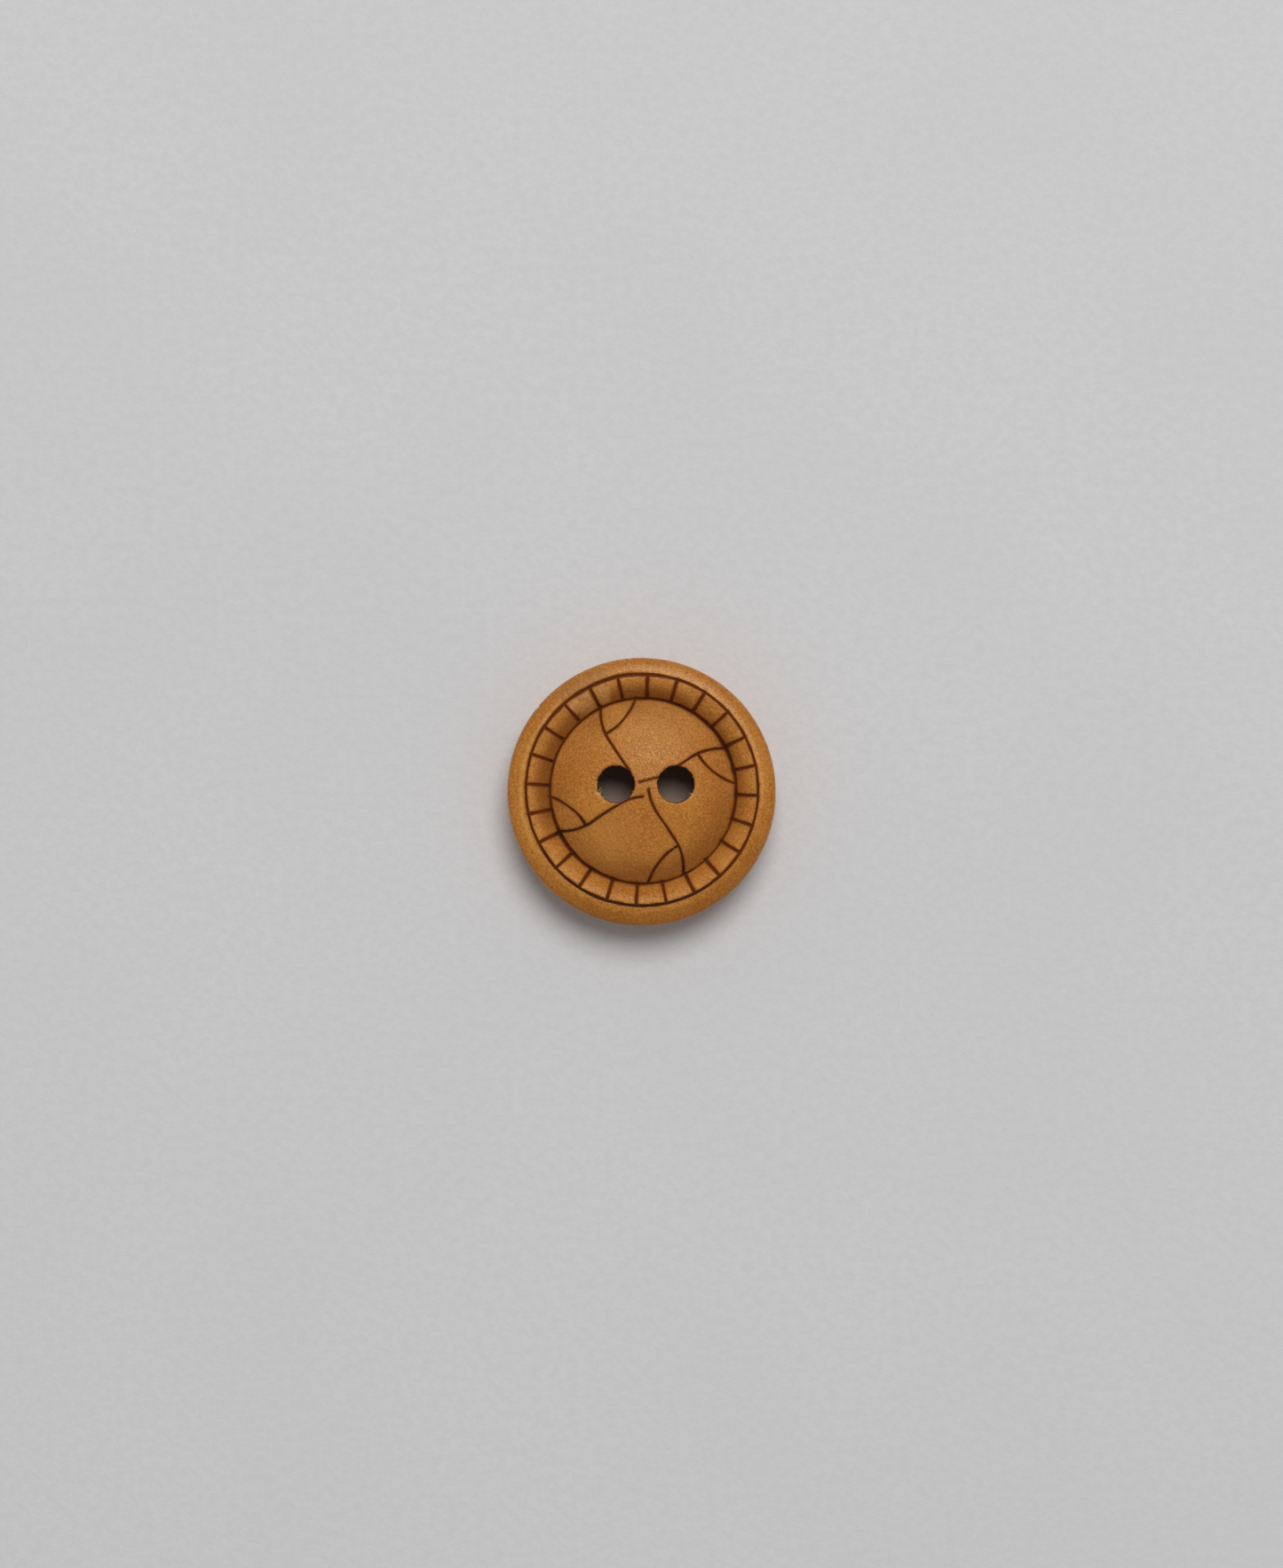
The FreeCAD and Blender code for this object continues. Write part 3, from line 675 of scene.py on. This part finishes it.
def crest_glint_and_pale_patch(points):
    """A paler streak along the rim's crest, left and upper right, as a painted highlight; and a
    paler, matt patch on the dome's lower left.
    """
    r, around = polar(points)
    sides = np.maximum(towards(around, 168, 0.55, 0.95), towards(around, 35, 0.55, 0.95))
    # Painted highlight: the crest streak stands in for sheen along the rim.
    streak = bell(r - CREST_RADIUS - 0.36, 0.15) * sides
    patch = 0.3 * bell(distance_to(points, (-2.1, -3.3)), 1.7)
    return streak * (0.7 + 0.5 * ragged(points, 0.2)) + patch


def upper_hole_side(points):
    """The upper side of each hole's edge: 1 above the holes, fading to 0 below their middle."""
    return smooth_step(-0.3, 0.7, points[:, 1] - HOLE_CENTRES[0][1])


def surface_states(corners):
    """Values for each corner of the mesh, about 0 to 1, which the material mixes by."""
    points, height = corners[:, :2], corners[:, 2]
    upper = height > UPPER_SIDE
    r, around = polar(points)
    below = turned_height(np.minimum(r, DISC_RADIUS - 0.001)) - height
    face = (1 - smooth_step(0.25, 0.45, below)) * upper
    groove, scorch = burn(points)
    _, tear = torn(points)
    fresh = smooth_step(0.0, 0.7, groove)
    by_channel = bell(channel_ring.distance(points), 0.22)
    fresh *= 1 - 0.15 * by_channel * towards(around, 302, 0.6, 1)
    channel_soot = by_channel * 0.5 * smooth_step(0.1, 0.9, np.cos(2 * (around - RING_HEAVY_SIDE)))
    outer_soot = bell(outer_ring.distance(points), 0.22) * 0.8 * towards(around, 258, 0.4, 0.9)
    soot = np.maximum.reduce((heavy_burn(points) * 1.3, channel_soot, outer_soot))
    soot += 0.2 * width_noise(points + 60, 0.45)
    from_edge = hole_distance(points)
    # Painted shade: a dark brown band round the upper edge of each hole, which slopes away from the
    # light into the hole.
    scorch = np.maximum(scorch, 0.9 * bell(from_edge, 0.14) * upper_hole_side(points))
    hole_wall = (from_edge < 0.006) & (height > 0.01)
    splinter = from_edge < -0.06
    nick = tear * (r > FRONT_EDGE_RADIUS) * smooth_step(2.2, 2.9, height)
    tear = tear * (1 - 0.9 * fresh) * (r < FRONT_EDGE_RADIUS)
    return {
        "burnt": fresh * face,
        "scorch_and_shade": scorch * face,
        "soot": soot * face,
        "torn": np.maximum(tear * (1 - smooth_step(0.45, 0.8, below)), splinter * upper),
        "bared": lifted(points) * inside_rim(points) * face,
        "dulled": dulled(points) * upper,
        # Painted shade: darker along the crease at the foot of the channel's wall.
        "crease": bell(r - CHANNEL_RADIUS, 0.16) * face,
        # Painted shade: the hole walls, and the nick in the edge, are made near black.
        "drilled": np.maximum(hole_wall, 0.8 * nick),
        "stain_and_shade": stain_and_painted_shade(points) * (height > STAIN_AND_SHADE_FROM),
        "crest_glint_and_pale_patch": crest_glint_and_pale_patch(points) * face * (1 - lifted(points)),
        "polished": smooth_step(7.6, 8.0, r) * (1 - lifted(points)) * upper,
        # The spot of the dome where the light's sheen falls.
        "grainy_glint_spot": bell(distance_to(points, (0.3, 2.5)), 1.7) * face,
    }


def add_states(data):
    for name, values in surface_states(corners_of(data)).items():
        attribute = data.attributes.new(name, "FLOAT", "POINT")
        attribute.data.foreach_set("value", np.clip(values, 0, 1).astype(np.float32))


# ---- materials --------------------------------------------------------------------------------

class Nodes:
    """Short calls that add linked nodes to one material."""

    def __init__(self, name):
        self.material = bpy.data.materials.new(name)
        self.material.use_nodes = True
        self.tree = self.material.node_tree
        self.shader = self.tree.nodes["Principled BSDF"]

    def add(self, kind, settings=(), **inputs):
        node = self.tree.nodes.new(kind)
        for name, value in dict(settings).items():
            setattr(node, name, value)
        for name, value in inputs.items():
            self.feed(node.inputs[name.replace("_", " ")], value)
        return node

    def feed(self, socket, value):
        if isinstance(value, bpy.types.NodeSocket):
            self.tree.links.new(value, socket)
        else:
            socket.default_value = value

    def state(self, name):
        return self.add("ShaderNodeAttribute", {"attribute_name": name}).outputs["Fac"]

    def share(self, name, part):
        """A state of the mesh, times a number or a socket."""
        return self.math("MULTIPLY", self.state(name), part)

    def place(self, stretch=(1, 1, 1), turn=0.0, per_mm=1.0):
        """Object coordinates in millimetres, turned about Z and stretched."""
        source = self.add("ShaderNodeTexCoord").outputs["Object"]
        turned = self.add("ShaderNodeVectorRotate", {"rotation_type": "Z_AXIS"}, Vector=source,
                          Angle=-turn).outputs["Vector"]
        scale = [side * per_mm / MM for side in stretch]
        return self.add("ShaderNodeMapping", Vector=turned, Scale=scale).outputs["Vector"]

    def noise(self, vector, detail=2.0, roughness=0.5, distortion=0.0):
        return self.add("ShaderNodeTexNoise", Vector=vector, Scale=1.0, Detail=detail,
                        Roughness=roughness, Distortion=distortion).outputs["Fac"]

    def ramp(self, value, low, high, to_low=0.0, to_high=1.0):
        return self.add("ShaderNodeMapRange", {"interpolation_type": "SMOOTHSTEP"}, Value=value,
                        From_Min=low, From_Max=high, To_Min=to_low, To_Max=to_high
                        ).outputs["Result"]

    def math(self, operation, first, second):
        node = self.add("ShaderNodeMath", {"operation": operation})
        self.feed(node.inputs[0], first)
        self.feed(node.inputs[1], second)
        return node.outputs[0]

    def mix(self, amount, first, second, blend="MIX"):
        node = self.add("ShaderNodeMix", {"data_type": "RGBA", "blend_type": blend})
        self.feed(node.inputs[0], amount)
        self.feed(node.inputs[6], first)
        self.feed(node.inputs[7], second)
        return node.outputs[2]

    def bump(self, height, distance, strength, normal=None):
        node = self.add("ShaderNodeBump", Height=height, Distance=distance * MM,
                        Strength=strength)
        if normal:
            self.feed(node.inputs["Normal"], normal)
        return node.outputs["Normal"]


def colour(red, green, blue):
    return (red, green, blue, 1)


HONEY = colour(0.6, 0.226, 0.034)
DEEP_HONEY = colour(0.52, 0.177, 0.024)
PALE_HONEY = colour(0.75, 0.325, 0.075)
PALE_GLINT_HONEY = colour(0.8, 0.38, 0.1)
PORE_BROWN = colour(0.25, 0.07, 0.009)
STAIN_AND_SHADE_BROWN = colour(0.2, 0.055, 0.007)
HOLLOW_SHADE_BROWN = colour(0.06, 0.02, 0.007)
SCORCH_AND_SHADE_BROWN = colour(0.18, 0.04, 0.006)
BURNT_RED = colour(0.13, 0.022, 0.0003)
SOOT_BLACK = colour(0.025, 0.006, 0.001)
BARE_WOOD = colour(0.74, 0.41, 0.15)
DULL_BROWN = colour(0.33, 0.16, 0.065)
BROWN_SHADE = colour(0.72, 0.54, 0.45)
WARM_SHEEN = colour(1, 0.78, 0.5)


def stained_wood():
    """Fine-grained wood with a honey stain, burnt, creased and torn as the mesh's states say."""
    nodes = Nodes("stained_wood_honey")
    clouds = nodes.noise(nodes.place(per_mm=0.28), detail=3, roughness=0.55)
    fibres = nodes.noise(nodes.place((0.9, 6.5, 6.5), GRAIN_DIRECTION), detail=3, roughness=0.6)
    speckle = nodes.noise(nodes.place(per_mm=6.5), detail=2, roughness=0.65)
    pores = nodes.noise(nodes.place((5, 13, 13), GRAIN_DIRECTION), detail=1, roughness=0.5)
    furrows = nodes.noise(nodes.place((1, 11, 11), GRAIN_DIRECTION), detail=2, roughness=0.7)
    coarse = nodes.noise(nodes.place((2.3, 3.3, 3.3), GRAIN_DIRECTION), detail=1.5, distortion=0.5)
    crests = nodes.ramp(nodes.math("ABSOLUTE", nodes.math("SUBTRACT", coarse, 0.52), 0),
                        0.08, 0.015)

    wood = nodes.mix(nodes.ramp(clouds, 0.36, 0.64), DEEP_HONEY, HONEY)
    wood = nodes.mix(nodes.ramp(fibres, 0.4, 0.72, 0, 0.25), wood, PALE_HONEY)
    wood = nodes.mix(nodes.ramp(speckle, 0.5, 0.7, 0, 0.75), wood, PALE_HONEY)
    wood = nodes.mix(nodes.ramp(speckle, 0.48, 0.3, 0, 0.5), wood, PORE_BROWN)
    wood = nodes.mix(nodes.ramp(pores, 0.58, 0.78, 0, 0.6), wood, PORE_BROWN)
    # Painted highlight and shade: in the sheen spot, the noise's crests are painted paler as glints
    # and its troughs darker.
    wood = nodes.mix(nodes.share("grainy_glint_spot", nodes.ramp(crests, 0.3, 0.9, 0, 0.42)), wood,
                     PALE_GLINT_HONEY)
    wood = nodes.mix(nodes.share("grainy_glint_spot", nodes.ramp(crests, 0.5, 0, 0, 0.6)), wood, DEEP_HONEY)
    stripes = nodes.ramp(furrows, 0.4, 0.6)
    wood = nodes.mix(nodes.share("bared", 0.65), wood,
                     nodes.mix(stripes, DEEP_HONEY, BARE_WOOD))
    wood = nodes.mix(nodes.share("dulled", 0.85), wood,
                     nodes.mix(nodes.math("MULTIPLY", stripes, 0.65), DULL_BROWN, HONEY))
    # Of these, the crease, the hollows and the holes' upper edges are painted shade, the stain
    # comes with painted shade, and the crest streak is a painted highlight.
    for state, part, shade in (("stain_and_shade", 0.6, STAIN_AND_SHADE_BROWN), ("crease", 0.2, STAIN_AND_SHADE_BROWN),
                               ("crest_glint_and_pale_patch", 0.8, PALE_GLINT_HONEY), ("drilled", 0.9, HOLLOW_SHADE_BROWN),
                               ("scorch_and_shade", 0.6, SCORCH_AND_SHADE_BROWN)):
        wood = nodes.mix(nodes.share(state, part), wood, shade)
    char = nodes.mix(nodes.state("soot"), BURNT_RED, SOOT_BLACK)
    wood = nodes.mix(nodes.state("burnt"), wood, char)
    wood = nodes.mix(nodes.state("torn"), wood, BARE_WOOD)
    nodes.feed(nodes.shader.inputs["Base Color"], wood)

    dull = nodes.math("MAXIMUM", nodes.state("burnt"), nodes.state("torn"))
    sheen = nodes.ramp(speckle, 0.3, 0.7, 0.46, 0.34)
    sheen = nodes.math("SUBTRACT", sheen, nodes.share("polished", 0.17))
    sheen = nodes.math("SUBTRACT", sheen, nodes.share("grainy_glint_spot", 0.15))
    rough = nodes.math("ADD", sheen, nodes.math("MULTIPLY", dull, 0.5))
    nodes.feed(nodes.shader.inputs["Roughness"], rough)
    nodes.feed(nodes.shader.inputs["Specular IOR Level"], 0.4)
    nodes.feed(nodes.shader.inputs["Specular Tint"], WARM_SHEEN)

    grit = nodes.bump(speckle, 0.05, 0.65)
    normal = nodes.bump(nodes.share("grainy_glint_spot", crests), 0.03, 0.9, grit)
    normal = nodes.bump(fibres, 0.03, 0.3, normal)
    nodes.feed(nodes.shader.inputs["Normal"], normal)
    return nodes.material


def plain_paper():
    """Matt, slightly warm paper with fine fibres, with painted shade under the button."""
    nodes = Nodes("plain_paper")
    flecks = nodes.noise(nodes.place(per_mm=1.6), detail=4, roughness=0.7)
    clouds = nodes.noise(nodes.place(per_mm=0.05), detail=2)
    shade = nodes.mix(nodes.ramp(flecks, 0.35, 0.65), colour(0.78, 0.775, 0.775),
                      colour(0.82, 0.813, 0.812))
    shade = nodes.mix(nodes.ramp(clouds, 0.35, 0.65, 0, 0.3), shade, colour(0.76, 0.757, 0.76))
    # Painted shade: the paper under the button, seen through the holes, is darkened and tinted
    # brown, in place of its shadow and the light the drilled walls throw down.
    covered = nodes.add("ShaderNodeVectorMath", {"operation": "LENGTH"},
                        Vector=nodes.place()).outputs["Value"]
    shade = nodes.mix(nodes.ramp(covered, 7.6, 8.0, 1, 0), shade, BROWN_SHADE, "MULTIPLY")
    nodes.feed(nodes.shader.inputs["Base Color"], shade)
    nodes.feed(nodes.shader.inputs["Roughness"], 0.95)
    nodes.feed(nodes.shader.inputs["Specular IOR Level"], 0.1)
    nodes.feed(nodes.shader.inputs["Normal"], nodes.bump(flecks, 0.09, 0.45))
    return nodes.material


# ---- the scene --------------------------------------------------------------------------------

def add_object(name, data):
    piece = bpy.data.objects.new(name, data)
    bpy.context.scene.collection.objects.link(piece)
    return piece


def add_button():
    """The one visible piece. Its states are worked out before its edges are frayed."""
    data = button_shape()
    add_states(data)
    fray(data)
    data.transform(Matrix.Scale(MM, 4))
    data.shade_smooth()
    data.materials.append(stained_wood())
    button = add_object("button_wood", data)
    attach(button, "root")
    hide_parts(NODE)


def add_floor():
    """A sheet of paper that runs well past the picture."""
    side = 700 * MM
    data = bpy.data.meshes.new("paper")
    corners = [(-side, -side, 0), (side, -side, 0), (side, side, 0), (-side, side, 0)]
    data.from_pydata(corners, [], [(0, 1, 2, 3)])
    data.materials.append(plain_paper())
    add_object("paper", data)


def add_key_light():
    """A large soft window above the button's top edge, a little to the right."""
    zenith, azimuth = math.radians(28), math.radians(77)
    distance, size, power = 0.9, 0.56, 4.65
    direction = Vector((math.sin(zenith) * math.cos(azimuth),
                        math.sin(zenith) * math.sin(azimuth), math.cos(zenith)))
    data = bpy.data.lights.new("key", "AREA")
    data.shape = "DISK"
    data.size, data.energy = size, power
    key = add_object("key", data)
    key.location = direction * distance
    key.rotation_euler = direction.to_track_quat("Z", "Y").to_euler()


def add_room_light():
    """Even light from all round, darker straight above, where the camera stands in its way."""
    world = bpy.data.worlds.new("room")
    world.use_nodes = True
    tree = world.node_tree
    direction = tree.nodes.new("ShaderNodeTexCoord").outputs["Generated"]
    parts = tree.nodes.new("ShaderNodeSeparateXYZ")
    tree.links.new(direction, parts.inputs[0])
    shade = tree.nodes.new("ShaderNodeMapRange")
    tree.links.new(parts.outputs["Z"], shade.inputs["Value"])
    for name, value in (("From Min", math.cos(math.radians(26))), ("To Min", 0.27),
                        ("From Max", math.cos(math.radians(12))), ("To Max", 0.05)):
        shade.inputs[name].default_value = value
    tree.links.new(shade.outputs["Result"], tree.nodes["Background"].inputs["Strength"])
    tree.nodes["Background"].inputs["Color"].default_value = colour(1, 1, 1.01)
    bpy.context.scene.world = world


def add_camera():
    """Straight above the button, which lies a little below the middle of the picture."""
    data = bpy.data.cameras.new("camera")
    data.lens = 100
    data.sensor_width = 36
    picture_height = 105 * MM
    camera = add_object("camera", data)
    camera.location = (0, 0.54 * MM,
                       SHOULDER_HEIGHT * MM + picture_height * data.lens / data.sensor_width)
    bpy.context.scene.camera = camera


bpy.context.scene.view_settings.view_transform = "Standard"
add_button()
add_floor()
add_key_light()
add_room_light()
add_camera()
